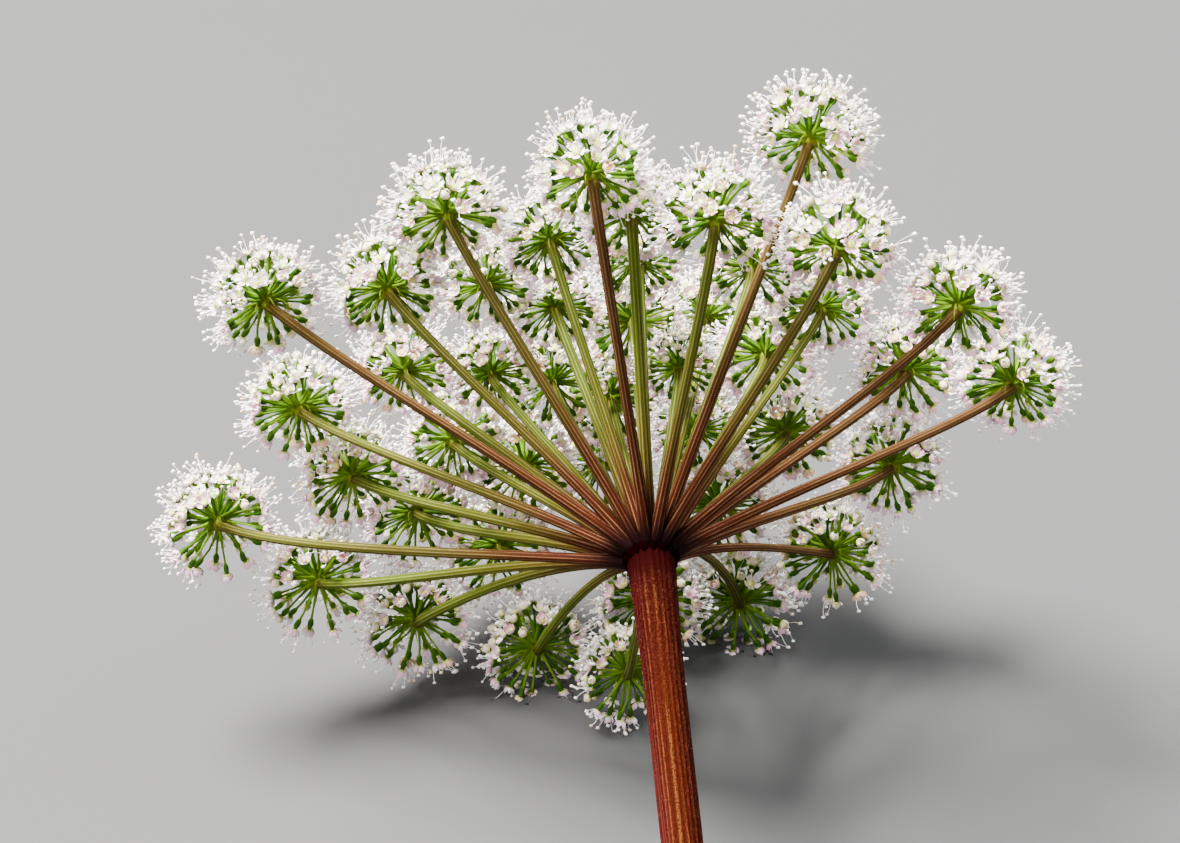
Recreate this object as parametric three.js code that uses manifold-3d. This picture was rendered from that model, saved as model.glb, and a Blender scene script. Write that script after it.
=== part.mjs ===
// A cut umbel flower head: a ribbed stem, a spray of rays from its top, and on each ray
// a rounded umbellet of small five-petalled florets on green stalks. It is modelled
// lying on a surface, as a cut stem does. Millimetres, +Z up, origin under its middle.
import * as THREE from "three";
import { mergeVertices } from "three/addons/utils/BufferGeometryUtils.js";
import Module from "manifold-3d";

const wasm = await Module();
wasm.setup();

// Sizes of the whole
const STEM_LENGTH = 190;
const HUB_HEIGHT = 56;
const FLOOR_PRESS = 0.35;
const GAP = 0.3;
const WELD = 1e-4;
const SLIVER = 0.05;

// The stem, which narrows below its flared top
const STEM_TOP_RADIUS = 4.1;
const STEM_WAIST_RADIUS = 3.5;
const STEM_WAIST_AT = 60;
const STEM_RIBS = 10;
const RIB_DEPTH = 0.28;
const STEM_STEPS = 4;

// The rays, and the low dome in which their roots run together
const RAY_RADIUS = 0.92;
const RAY_SIDES = 5;
const RAY_STEPS = 2;
const BOWED_RAY_STEPS = 3;
const RAY_ROOT = 2.2;
const RAY_SHORT = 1.5;
const RAY_TURN = 5;
const RAY_NOD = 0.4;
const DOME_RADIUS = 5.7;
const DOME_SIDES = 9;
const DOME_STEP = 36;
const DOME_SINK = 1.8;

// One umbellet: its knot, its stalks and its florets
const KNOT_RADIUS = 1.15;
const KNOT_BELOW = 0.75;
const KNOT_RINGS = { upper: 0.345, lower: -0.3 };
const STALK_REACH = 7.7;
const STALK_RADIUS = 0.46;
const PETALS = 5;
const PETAL_REACH = 3.7;
const NOTCH_REACH = 2.35;
const PETAL_DROOP = 0.1;
const FLORET_CROWN = 0.95;
const CROWN_RISE = 0.35;
const REACH_SPREAD = 0.35;
const TURN_SPREAD = 0.05;
const RINGS = 4;
const RING_TILTS = { top: 36, upper: 81, lower: 105 };
const NOD = 4;
const FULL_HEAD_RAY = 60;
const SMALLEST_HEAD = 0.75;
const FIRST_SEED = 725;

// The side from which the places of the umbellets were read: how steeply that line of
// sight comes down, and how far it is turned from the stem, in degrees.
const SIGHT_DOWN = 35;
const SIGHT_TURN = 5.1;

// Each umbellet's place, in the order of its number: mm to the right of the hub and mm
// above it in that view, the straight length of its ray, and 1 where it lies on the far
// side of the hub or -1 on the near side. Then how far the ray bows up, and how much the
// umbellet leans right and up.
const UMBELLETS = [
  [25.3, 65, 72.5, -1, 0, 1],
  [-9, 58, 68, -1],
  [-3, 53, 56, -1],
  [-32, 53, 65, -1],
  [-61, 39.6, 74.5, -1, 0, -0.7, -0.5],
  [-42, 42, 60, -1],
  [10, 51, 62, -1],
  [29, 47, 63, -1, 0, 0.4, 1.5],
  [49, 39, 64, -1],
  [60.5, 28, 69, 1],
  [-16, 50, 53, -1],
  [-27, 44, 53, 1],
  [-16, 41, 51, 1],
  [-27, 30, 50, 1],
  [-41, 30, 54, 1],
  [-17, 29, 56, 1],
  [-2, 48, 50, 1],
  [-3, 40, 62, 1],
  [5, 31, 43, 1],
  [10, 41, 74, 1],
  [17, 47, 52, 1],
  [20, 34, 60, 1],
  [29, 41, 57, 1],
  [-34, 19, 58, 1],
  [-22, 15, 63, 1],
  [-41, 7, 69, 1],
  [-27, 1, 74, 1],
  [-7, 27, 66, 1],
  [-9, 16, 77, 1],
  [24, 21, 66, 1],
  [12, 8, 65, 1],
  [8, 21, 53, 1],
  [44, 31, 66, 1],
  [42, 15, 66, 1],
  [32, 0, 66, 1, 2.5],
  [16, -9, 72, 1, 7],
  [-4, -21, 54, 1],
  [-20, -17, 65, 1, 4],
  [-41, -12, 68, 1, 4],
  [-57, -5, 70, 1, 1],
  [-73, 5, 78, 1, -2],
  [-59, 24, 68, 1],
  [-51, 13, 65, 1],
  [0, -8, 61, 1],
];

const FINISHES = {
  stem: { color: 0x8c2a20, roughness: 0.55, metalness: 0 },
  rays: { color: 0x93602f, roughness: 0.6, metalness: 0 },
  umbellet: { color: 0xf0dfe0, roughness: 0.5, metalness: 0 },
};

const radians = THREE.MathUtils.degToRad;

// A small seeded generator, so that every run gives the same umbellets.
function randomFrom(seed) {
  let state = (seed * 2654435761) % 4294967296;
  return () => {
    state = (state * 1664525 + 1013904223) % 4294967296;
    return state / 4294967296;
  };
}

// Manifold solids from three.js geometry, and back.
function solidOf(geometry) {
  const bare = geometry.clone();
  bare.deleteAttribute("normal");
  bare.deleteAttribute("uv");
  const merged = mergeVertices(bare, WELD);
  return new wasm.Manifold(
    new wasm.Mesh({
      numProp: 3,
      vertProperties: merged.attributes.position.array,
      triVerts: new Uint32Array(merged.index.array),
    }),
  );
}

function geometryOf(solid) {
  const mesh = solid.getMesh();
  const points = new THREE.BufferAttribute(mesh.vertProperties, 3);
  const geometry = new THREE.BufferGeometry().setAttribute("position", points);
  return geometry.setIndex(new THREE.BufferAttribute(mesh.triVerts, 1));
}

// The block under the surface on which the umbel lies, which trims what reaches into it.
function floorBlock() {
  const size = 3 * STEM_LENGTH;
  const depth = HUB_HEIGHT;
  const block = new THREE.BoxGeometry(size, size, depth);
  return solidOf(block.translate(0, 0, -depth / 2));
}

// Directions of the stem and of the line of sight, as the umbel lies.
const hub = new THREE.Vector3(0, 0, HUB_HEIGHT);
const stemRise = Math.asin((HUB_HEIGHT - STEM_WAIST_RADIUS + FLOOR_PRESS) / STEM_LENGTH);
const axis = new THREE.Vector3(0, Math.cos(stemRise), Math.sin(stemRise));
const sightTurn = radians(SIGHT_TURN);
const sightDown = radians(SIGHT_DOWN);
const away = new THREE.Vector3(
  Math.sin(sightTurn) * Math.cos(sightDown),
  Math.cos(sightTurn) * Math.cos(sightDown),
  -Math.sin(sightDown),
);
const right = new THREE.Vector3(Math.cos(sightTurn), -Math.sin(sightTurn), 0);
const up = new THREE.Vector3().crossVectors(right, away);

// A point or direction given as right, up and away in the view.
function inView(across, above, behind) {
  return new THREE.Vector3()
    .addScaledVector(right, across)
    .addScaledVector(up, above)
    .addScaledVector(away, behind);
}

// Where each umbellet's knot lies, which way it faces, and how its ray runs to it.
function umbelletPlaces() {
  return UMBELLETS.map((row) => {
    const [across, above, length, side] = row;
    const [bowUp = 0, leanRight = 0, leanUp = 0] = row.slice(4);
    const depth = Math.sqrt(length ** 2 - across ** 2 - above ** 2);
    const reach = inView(across, above, side * depth);
    const knot = reach.clone().add(hub);
    // A third of the way out the ray passes its bow's height above the straight line, and
    // then it comes down to its knot.
    const bow = inView(0, bowUp, 0);
    const start = reach.clone().multiplyScalar(1 / 3).add(bow);
    const way = reach.clone().addScaledVector(bow, -2).normalize();
    // Every umbellet nods from its ray's own way towards the stem's, and the ray's end
    // follows it a little.
    const facing = way.clone().addScaledVector(axis, NOD);
    facing.add(inView(leanRight, leanUp, 0)).normalize();
    const bend = way.clone().addScaledVector(facing, RAY_NOD).setLength(length / RAY_TURN);
    const root = start.clone().setLength(RAY_ROOT).add(hub);
    const end = knot.clone().addScaledVector(facing, -RAY_SHORT);
    const path = new THREE.CubicBezierCurve3(root, start.add(hub), end.clone().sub(bend), end);
    const steps = bowUp ? BOWED_RAY_STEPS : RAY_STEPS;
    const scale = Math.min(1, Math.max(SMALLEST_HEAD, length / FULL_HEAD_RAY));
    return { knot, facing, path, steps, scale };
  });
}

// The stem: a ribbed outline drawn out along its length, flared at the hub end.
function stemGeometry() {
  const outline = [];
  for (let i = 0; i < 2 * STEM_RIBS; i += 1) {
    const angle = (Math.PI * i) / STEM_RIBS;
    const radius = i % 2 ? 1 - RIB_DEPTH / STEM_WAIST_RADIUS : 1;
    outline.push(new THREE.Vector2(radius * Math.cos(angle), radius * Math.sin(angle)));
  }
  const depth = STEM_LENGTH - DOME_SINK - GAP;
  const bar = new THREE.ExtrudeGeometry(new THREE.Shape(outline), {
    depth,
    steps: STEM_STEPS,
    bevelEnabled: false,
  });
  const points = bar.attributes.position;
  for (let i = 0; i < points.count; i += 1) {
    // The steps crowd towards the hub, where the stem flares.
    const fromTop = depth * (1 - points.getZ(i) / depth) ** 2;
    const flare = Math.max(0, 1 - fromTop / STEM_WAIST_AT) ** 2;
    const radius = STEM_WAIST_RADIUS + (STEM_TOP_RADIUS - STEM_WAIST_RADIUS) * flare;
    points.setXYZ(i, points.getX(i) * radius, points.getY(i) * radius, -fromTop);
  }
  return bar;
}

function buildStem(floor) {
  const top = hub.clone().addScaledVector(axis, -DOME_SINK - GAP);
  const turn = new THREE.Quaternion().setFromUnitVectors(new THREE.Vector3(0, 0, 1), axis);
  const placed = stemGeometry().applyQuaternion(turn).translate(top.x, top.y, top.z);
  return geometryOf(solidOf(placed).subtract(floor));
}

// The rays, fused with the dome at their roots.
function buildRays(places) {
  const profile = [new THREE.Vector2(0, -DOME_SINK)];
  for (let i = 0; i <= 3; i += 1) {
    const angle = radians(DOME_STEP * (i - 0.5));
    const out = i === 3 ? 0 : DOME_RADIUS * Math.cos(angle);
    profile.push(new THREE.Vector2(out, i ? DOME_RADIUS * Math.sin(angle) : -DOME_SINK));
  }
  const dome = new THREE.LatheGeometry(profile, DOME_SIDES);
  const turn = new THREE.Quaternion().setFromUnitVectors(new THREE.Vector3(0, 1, 0), axis);
  let fused = solidOf(dome.applyQuaternion(turn).translate(hub.x, hub.y, hub.z));
  const section = [];
  for (let i = 0; i < RAY_SIDES; i += 1) {
    const angle = (2 * Math.PI * i) / RAY_SIDES;
    section.push(new THREE.Vector2(Math.cos(angle), Math.sin(angle)).multiplyScalar(RAY_RADIUS));
  }
  for (const { path, steps } of places) {
    const ray = new THREE.ExtrudeGeometry(new THREE.Shape(section), {
      steps,
      bevelEnabled: false,
      extrudePath: path,
    });
    fused = fused.add(solidOf(ray));
  }
  return geometryOf(fused.simplify(SLIVER));
}

// The knot's corners: a top, two rings of four, the lower one turned by half a step, and
// a bottom. Twelve of its sixteen faces carry a stalk.
function knotCorners() {
  const ring = (height, radius, shift) =>
    Array.from({ length: RINGS }, (_, i) => {
      const angle = (Math.PI * 2 * (i + shift)) / RINGS;
      return new THREE.Vector3(radius * Math.cos(angle), radius * Math.sin(angle), height);
    });
  return {
    top: new THREE.Vector3(0, 0, KNOT_RADIUS),
    upper: ring(KNOT_RINGS.upper, KNOT_RADIUS, 0),
    lower: ring(KNOT_RINGS.lower, KNOT_RADIUS, 0.5),
    bottom: new THREE.Vector3(0, 0, -KNOT_BELOW),
  };
}

// One stalk with its floret, grown out of a face of the knot: three sides that narrow to
// the neck, and a five-petalled star that is thickest in the middle.
function addFloret(faces, root, direction, random) {
  const reach = STALK_REACH + REACH_SPREAD * (2 * random() - 1);
  const centre = direction.clone().multiplyScalar(reach);
  const first = root[0].clone().addScaledVector(direction, -root[0].dot(direction));
  const x = first.normalize();
  const y = new THREE.Vector3().crossVectors(direction, x);
  const at = (radius, angle, height) =>
    centre
      .clone()
      .addScaledVector(x, radius * Math.cos(angle))
      .addScaledVector(y, radius * Math.sin(angle))
      .addScaledVector(direction, height);
  const neck = root.map((_, i) => at(STALK_RADIUS, (2 * Math.PI * i) / 3, 0));
  for (let i = 0; i < 3; i += 1) {
    const j = (i + 1) % 3;
    faces.push([root[i], root[j], neck[j]], [root[i], neck[j], neck[i]]);
  }
  const turn = 2 * Math.PI * random();
  const corners = 2 * PETALS;
  const rim = [];
  for (let i = 0; i < corners; i += 1) {
    const angle = turn + (Math.PI * i) / PETALS;
    rim.push(at(i % 2 ? NOTCH_REACH : PETAL_REACH, angle, FLORET_CROWN - PETAL_DROOP));
  }
  const crown = at(0, 0, FLORET_CROWN + CROWN_RISE);
  for (let i = 0; i < corners; i += 1) {
    const j = (i + 1) % corners;
    faces.push([rim[i], rim[j], crown]);
    // Below, each edge of the star goes to the neck corner nearest to its middle.
    const k = nearestCorner(turn + (Math.PI * (i + 0.5)) / PETALS);
    const next = nearestCorner(turn + (Math.PI * (i + 1.5)) / PETALS);
    faces.push([rim[j], rim[i], neck[k]]);
    if (next !== k) faces.push([rim[j], neck[k], neck[next]]);
  }
}

function nearestCorner(angle) {
  return ((Math.round((3 * angle) / (2 * Math.PI)) % 3) + 3) % 3;
}

// One umbellet about its knot, facing +Z.
function umbelletGeometry(seed) {
  const random = randomFrom(seed);
  const { top, upper, lower, bottom } = knotCorners();
  const faces = [];
  const roll = 2 * Math.PI * random();
  const grow = (tilt, turn, root) => {
    const polar = radians(tilt) + TURN_SPREAD * (2 * random() - 1);
    const round = turn + TURN_SPREAD * (2 * random() - 1);
    const direction = new THREE.Vector3(
      Math.sin(polar) * Math.cos(round),
      Math.sin(polar) * Math.sin(round),
      Math.cos(polar),
    );
    addFloret(faces, root, direction, random);
  };
  for (let i = 0; i < RINGS; i += 1) {
    const j = (i + 1) % RINGS;
    const between = (Math.PI * 2 * (i + 0.5)) / RINGS;
    const beside = (Math.PI * 2 * (i + 1)) / RINGS;
    grow(RING_TILTS.top, between, [top, upper[i], upper[j]]);
    grow(RING_TILTS.upper, between, [lower[i], upper[j], upper[i]]);
    grow(RING_TILTS.lower, beside, [upper[j], lower[i], lower[j]]);
    faces.push([bottom, lower[j], lower[i]]);
  }
  const points = faces.flat().flatMap((corner) => corner.toArray());
  const positions = new THREE.Float32BufferAttribute(points, 3);
  return new THREE.BufferGeometry().setAttribute("position", positions).rotateZ(roll);
}

// The umbel lying on its lowest umbellets and the cut end of its stem.
function buildUmbel() {
  const floor = floorBlock();
  const places = umbelletPlaces();
  const umbel = new THREE.Group();
  const add = (name, geometry, material) => {
    const mesh = new THREE.Mesh(geometry, material);
    mesh.name = name;
    umbel.add(mesh);
    return mesh;
  };
  add("stem", buildStem(floor), new THREE.MeshStandardMaterial(FINISHES.stem));
  add("rays", buildRays(places), new THREE.MeshStandardMaterial(FINISHES.rays));
  const petal = new THREE.MeshStandardMaterial(FINISHES.umbellet);
  places.forEach(({ knot, facing, scale }, i) => {
    const name = `umbellet_${String(i + 1).padStart(2, "0")}`;
    const mesh = add(name, umbelletGeometry(FIRST_SEED + i), petal);
    mesh.position.copy(knot);
    mesh.quaternion.setFromUnitVectors(new THREE.Vector3(0, 0, 1), facing);
    mesh.scale.setScalar(scale);
    mesh.updateMatrix();
    const low = new THREE.Box3().setFromObject(mesh, true).min.z;
    if (low < 0) {
      // This one rests on the surface, so the petals that meet it lie flat on it.
      const pressed = solidOf(mesh.geometry.applyMatrix4(mesh.matrix)).subtract(floor);
      mesh.geometry = geometryOf(pressed);
      mesh.position.set(0, 0, 0);
      mesh.quaternion.identity();
      mesh.scale.setScalar(1);
    }
  });
  const box = new THREE.Box3().setFromObject(umbel, true);
  const middle = box.getCenter(new THREE.Vector3());
  umbel.position.set(-middle.x, -middle.y, 0);
  return umbel;
}

export default buildUmbel();
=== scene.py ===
# A cut umbel flower head lying on a pale surface: a ribbed red stem, a spray of grooved
# rays, and on each ray an umbellet of small white florets. Lengths are in millimetres
# until a mesh is made, and every direction is in the frame of the solids.
import math
from collections import namedtuple

import bpy
import numpy as np
from mathutils import Matrix, Vector


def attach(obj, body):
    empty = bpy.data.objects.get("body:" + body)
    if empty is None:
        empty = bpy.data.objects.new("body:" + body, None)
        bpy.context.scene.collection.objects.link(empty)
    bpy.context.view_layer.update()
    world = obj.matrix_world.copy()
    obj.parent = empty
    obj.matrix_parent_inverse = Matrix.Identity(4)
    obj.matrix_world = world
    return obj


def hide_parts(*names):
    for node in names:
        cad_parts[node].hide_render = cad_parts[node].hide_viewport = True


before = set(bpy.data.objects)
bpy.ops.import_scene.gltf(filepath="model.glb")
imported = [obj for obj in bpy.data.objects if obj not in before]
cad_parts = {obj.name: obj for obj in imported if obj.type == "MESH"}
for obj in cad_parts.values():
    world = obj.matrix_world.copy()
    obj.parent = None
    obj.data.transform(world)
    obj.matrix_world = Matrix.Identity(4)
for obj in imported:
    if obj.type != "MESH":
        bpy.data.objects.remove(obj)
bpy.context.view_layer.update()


# The camera stands off on the side from which the umbel was read, looking down on it.
# The hub, where the stem ends and every ray starts, falls below the middle of the picture.
MM = 0.001
HUB = np.array([3.5706, 50.9392, 56.0])
SIGHT_DOWN = math.radians(35)
SIGHT_TURN = math.radians(5.1)
SIGHT_DISTANCE = 650
NEAREST_SEEN = 10
FARTHEST_SEEN = 20000
SENSOR_WIDTH = 36
# These four are in pixels of the picture.
PICTURE_WIDTH = 1180
PICTURE_FOCUS = 4012
HUB_RIGHT_OF_MIDDLE = 60
HUB_BELOW_MIDDLE = 128.5


def unit(vectors):
    """The same directions, one long."""
    return vectors / np.linalg.norm(vectors, axis=-1, keepdims=True)


away = np.array([
    math.sin(SIGHT_TURN) * math.cos(SIGHT_DOWN),
    math.cos(SIGHT_TURN) * math.cos(SIGHT_DOWN),
    -math.sin(SIGHT_DOWN),
])
right = np.array([math.cos(SIGHT_TURN), -math.sin(SIGHT_TURN), 0])
up = np.cross(right, away)


def place_camera():
    """The camera at the photograph's viewing angle, as the scene's own camera."""
    aim = unit(away * PICTURE_FOCUS - right * HUB_RIGHT_OF_MIDDLE + up * HUB_BELOW_MIDDLE)
    across = unit(right - aim * (right @ aim))
    turn = Matrix(np.stack([across, np.cross(across, aim), -aim], axis=1).tolist())
    lens = bpy.data.cameras.new("camera")
    lens.sensor_width = SENSOR_WIDTH
    lens.lens = SENSOR_WIDTH * PICTURE_FOCUS / PICTURE_WIDTH
    lens.clip_start = NEAREST_SEEN * MM
    lens.clip_end = FARTHEST_SEEN * MM
    camera = bpy.data.objects.new("camera", lens)
    camera.matrix_world = turn.to_4x4()
    camera.location = Vector((HUB - away * SIGHT_DISTANCE) * MM)
    bpy.context.scene.collection.objects.link(camera)
    bpy.context.scene.camera = camera


place_camera()


# The stem is one stalk, crimson over orange-brown, drawn into fine lengthwise ribs with
# pale golden crests, and covered in a short reddish down. It flares a little where the
# rays leave it, and its lower end is cut straight across and shows the pith.
STEM_SEED = 11
STEM_BELOW_HUB = 2.1
STEM_END = 190
STEM_LENGTH = STEM_END - STEM_BELOW_HUB
STEM_WAIST = 3.25
STEM_FLARE = 0.75
STEM_FLARE_LENGTH = 34
STEM_COLUMNS = 161
STEM_ROWS = 90
STEM_ROW_CROWD = 1.15
# At the cut end the stem's axis lies this high, less what the stem is pressed in.
STEM_CUT_HEIGHT = 3.5
STEM_PRESS = 0.35
STEM_RIBS = 23
STEM_RIB_DEPTH = 0.1
STEM_RIB_SHARPNESS = 1.4
STEM_RIB_UNEVEN = 0.1
STEM_RIB_SWAY = 0.07
STEM_SWAY_LENGTH = 90
# The turns to the warm face and to the left side, where a pinkish sheen is painted, are in
# radians from the side that the camera sees.
WARM_TURN = 0.1
SHEEN_TURN = 1.25
WARM_FOCUS = 5
WARM_AT_TOP = 0.25
WARM_LENGTH = 45
# Each ring of the cut end: share of the stem's radius, and how far in from the cut.
CUT_RINGS = np.array([(1.0, 0), (0.86, 0.12), (0.8, 0), (0.5, 0.1), (0.42, 0.8), (0.36, 5)])
STEM_BARE_TOP = 5
STEM_BARE_END = 1
STEM_HAIRS = 4500
STEM_HAIR_CROWD = 1.1
STEM_HAIR_LENGTH = 0.34
STEM_HAIR_WIDTH = 0.035
STEM_HAIR_TILT = 0.35
HAIR_SHORTEST = 0.5
HAIR_SINK = 0.03
FLOOR_CLEARANCE = 0.03
# The finishes, by their places in the piece's list.
STEM_SKIN, STEM_PITH, STEM_DOWN = range(3)


class Wire:
    """One socket of a finish. Sums on wires add Math nodes, and node() adds any other."""

    def __init__(self, tree, socket=None):
        self.tree = tree
        self.socket = socket

    def node(self, kind, settings, sockets, output=0):
        made = self.tree.nodes.new(kind)
        for name, value in settings.items():
            setattr(made, name, value)
        for name, value in sockets.items():
            if isinstance(value, Wire):
                self.tree.links.new(value.socket, made.inputs[name])
            else:
                made.inputs[name].default_value = value
        return Wire(self.tree, made.outputs[output] if made.outputs else None)

    def math(self, operation, *values):
        return self.node("ShaderNodeMath", {"operation": operation}, dict(enumerate(values)))

    def __add__(self, other):
        return self.math("ADD", self, other)

    def __sub__(self, other):
        return self.math("SUBTRACT", self, other)

    def __rsub__(self, other):
        return self.math("SUBTRACT", other, self)

    def __mul__(self, other):
        return self.math("MULTIPLY", self, other)

    __radd__ = __add__
    __rmul__ = __mul__

    def step(self, low, high):
        """Rises softly from 0 at low to 1 at high."""
        sockets = {"Value": self, "From Min": low, "From Max": high}
        return self.node("ShaderNodeMapRange", {"interpolation_type": "SMOOTHSTEP"}, sockets)

    def mix(self, without, within):
        """A colour that is without where this is 0, and within where it is 1."""
        ends = {0: self, 6: without, 7: within}
        return self.node("ShaderNodeMix", {"data_type": "RGBA"}, ends, 2)

    def painted(self, name, output="Fac"):
        """A value that was painted on the mesh, point by point."""
        return self.node("ShaderNodeAttribute", {"attribute_name": name}, {}, output)

    def place(self):
        """Where a point lies on the object, in metres."""
        return self.node("ShaderNodeTexCoord", {}, {}, "Object")

    def drawn_out(self, along):
        """A place counted at this rate along its third axis, so that patterns stretch there."""
        sockets = {0: self, 1: (1, 1, along)}
        return self.node("ShaderNodeVectorMath", {"operation": "MULTIPLY"}, sockets)

    def mottle(self, scale, detail=2.0):
        """A cloudy pattern from 0 to 1, laid over this place."""
        sockets = {"Vector": self, "Scale": scale, "Detail": detail}
        return self.node("ShaderNodeTexNoise", {}, sockets)

    def relief(self, depth):
        """A bumpy normal from this height, where 1 stands depth metres high."""
        return self.node("ShaderNodeBump", {}, {"Height": self, "Distance": depth})

    def surface(self, sockets):
        """Ends the finish with its shader."""
        shader = self.node("ShaderNodeBsdfPrincipled", {}, sockets)
        self.node("ShaderNodeOutputMaterial", {}, {"Surface": shader})


def new_finish(name):
    """An empty material and the wire that its nodes are made from."""
    material = bpy.data.materials.new(name)
    material.use_nodes = True
    material.node_tree.nodes.clear()
    return material, Wire(material.node_tree)


class Growth:
    """Points, faces and painted values, gathered for one piece."""

    def __init__(self):
        self.points = []
        self.faces = []
        self.slots = []
        self.paint = []
        self.count = 0

    def add(self, points, faces, slot, **paint):
        """Adds copies of one shape: points is copies x points x 3, faces are one copy's."""
        copies, each = points.shape[:2]
        starts = self.count + each * np.arange(copies)[:, None, None]
        for group in faces:
            placed = (group[None] + starts).reshape(-1, group.shape[1])
            self.faces += placed.tolist()
            self.slots += [slot] * len(placed)
        self.points.append(points.reshape(-1, 3))
        self.paint.append((copies * each, {
            name: np.broadcast_to(value, (copies, each) + np.shape(value)[2:])
            for name, value in paint.items()
        }))
        self.count += copies * each

    def piece(self, name, finishes):
        """The Blender object, which keeps clear of the floor."""
        points = np.concatenate(self.points)
        points[:, 2] = np.maximum(points[:, 2], FLOOR_CLEARANCE)
        mesh = bpy.data.meshes.new(name)
        mesh.from_pydata((points * MM).tolist(), [], self.faces)
        mesh.polygons.foreach_set("use_smooth", [True] * len(self.faces))
        mesh.polygons.foreach_set("material_index", self.slots)
        for layer in sorted({layer for _, paint in self.paint for layer in paint}):
            parts = [paint.get(layer) for _, paint in self.paint]
            wide = next(part for part in parts if part is not None).ndim == 3
            values = [
                np.zeros(size * (3 if wide else 1)) if part is None else part.reshape(-1)
                for (size, _), part in zip(self.paint, parts)
            ]
            kind, key = ("FLOAT_VECTOR", "vector") if wide else ("FLOAT", "value")
            held = mesh.attributes.new(layer, kind, "POINT")
            held.data.foreach_set(key, np.concatenate(values).astype(np.float32))
        for finish in finishes:
            mesh.materials.append(finish)
        mesh.update()
        made = bpy.data.objects.new(name, mesh)
        bpy.context.scene.collection.objects.link(made)
        return made


def sheet_faces(rows, columns, closed):
    """Four-cornered faces between rows of points; closed joins the rows' two ends."""
    wide = columns if closed else columns - 1
    row, column = np.divmod(np.arange((rows - 1) * wide), wide)
    after = (column + 1) % columns
    here = row * columns
    return np.stack([here + column, here + after, here + columns + after,
                     here + columns + column], axis=1)


def tube_faces(rows, columns):
    """The side of a tube, and a face over each of its ends."""
    ring = np.arange(columns)
    ends = np.stack([ring[::-1], ring + (rows - 1) * columns])
    return [sheet_faces(rows, columns, True), ends]


def tube(path, across, over, radius, columns):
    """Rings of points round paths: copies x rows x columns x 3."""
    turn = 2 * np.pi * np.arange(columns)[:, None] / columns
    ring = np.cos(turn) * across[..., None, :] + np.sin(turn) * over[..., None, :]
    return path[..., None, :] + radius[..., None] * ring


def flat(points):
    """Rings or sheets of points as one list a copy."""
    return points.reshape(points.shape[0], -1, 3)


def spikes(feet, way, side, length, width):
    """A three-sided spike at each foot, for a hair."""
    other = np.cross(way, side)
    turns = 2 * np.pi * np.arange(3) / 3
    base = [feet + width / 2 * (math.cos(t) * side + math.sin(t) * other) for t in turns]
    return np.stack([*base, feet + way * length], axis=1)


SPIKE_FACES = [np.array([[2, 1, 0], [0, 1, 3], [1, 2, 3], [2, 0, 3]])]

# The stem, the rays and the stalks have dark base colours, because the lamps are strong.
STEM_CRIMSON = (0.006, 0.0001, 0.0001, 1)
STEM_BROWN = (0.016, 0.002, 0.0003, 1)
STEM_SHEEN_TOP = (0.012, 0.0002, 0.001, 1)
STEM_SHEEN_LOW = (0.034, 0.004, 0.004, 1)
STEM_GOLD = (0.11, 0.044, 0.012, 1)
STEM_FLECKS = (0.04, 0.007, 0.003, 1)
STEM_GROOVE_SHADE = (0.004, 0.0001, 0.0001, 1)
STEM_TOP_SHADE = (0.006, 0.0001, 0.0002, 1)


def stem_finish():
    """Long bands and small flecks over crimson and brown, with golden crests in places, painted
    shade in the grooves and at the top, and a painted pinkish sheen down the left side.
    """
    material, wire = new_finish("ribbed_stem_skin")
    grain = wire.painted("grain", "Vector")
    rib = wire.painted("rib")
    below = wire.painted("below")
    bands = grain.drawn_out(0.008).mottle(2.6, 2)
    cloud = grain.drawn_out(0.15).mottle(0.55)
    fleck = grain.drawn_out(0.5).mottle(5, 1)
    warmth = (wire.painted("warm") + cloud * 0.4 + bands * 0.5 - 0.45).step(0.1, 1)
    skin = warmth.mix(STEM_CRIMSON, STEM_BROWN)
    # A painted sheen: the left side turns pinker, more so lower down, as if the light caught the
    # down there.
    side = below.step(10, 55).mix(STEM_SHEEN_TOP, STEM_SHEEN_LOW)
    skin = (wire.painted("left") * bands.step(0.3, 0.6)).mix(skin, side)
    crest = rib.step(0.6, 0.98) * bands.step(0.4, 0.58) * fleck.step(0.4, 0.6)
    skin = (crest * (warmth * 0.6 + 0.1)).mix(skin, STEM_GOLD)
    skin = (fleck.step(0.52, 0.62) * 0.5).mix(skin, STEM_FLECKS)
    # Painted shade darkens the grooves between the ribs.
    skin = (rib.step(0.3, 0) * 0.4).mix(skin, STEM_GROOVE_SHADE)
    wire.surface({
        # Painted shade darkens the top of the stem, under the rays' crown.
        "Base Color": below.step(9, 1).mix(skin, STEM_TOP_SHADE),
        "Roughness": 0.85 - bands * 0.15,
        "Normal": (fleck + rib).relief(0.00006),
        "Specular IOR Level": 0.01,
    })
    return material


PITH_GREEN = (0.5, 0.52, 0.26, 1)
PITH_PALE = (0.78, 0.77, 0.55, 1)
RIND_RED = (0.2, 0.03, 0.02, 1)


def pith_finish():
    """Pale cells inside a red rind."""
    material, wire = new_finish("stem_pith")
    cells = wire.place().mottle(2600, 2)
    rind = wire.painted("rib").step(0.6, 0.9)
    wire.surface({
        "Base Color": rind.mix(cells.mix(PITH_GREEN, PITH_PALE), RIND_RED),
        "Roughness": 0.7 + cells * 0.2,
        "Normal": cells.relief(0.0001),
    })
    return material


DOWN_DARK = (0.05, 0.006, 0.006, 1)
DOWN_PALE = (0.26, 0.1, 0.06, 1)


def down_finish():
    """The short hairs of the stem and the rays."""
    material, wire = new_finish("reddish_down")
    shade = wire.place().mottle(900, 1)
    wire.surface({
        "Base Color": shade.mix(DOWN_DARK, DOWN_PALE),
        "Roughness": 0.6 + shade * 0.2,
        "Specular IOR Level": 0.2,
    })
    return material


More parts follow.
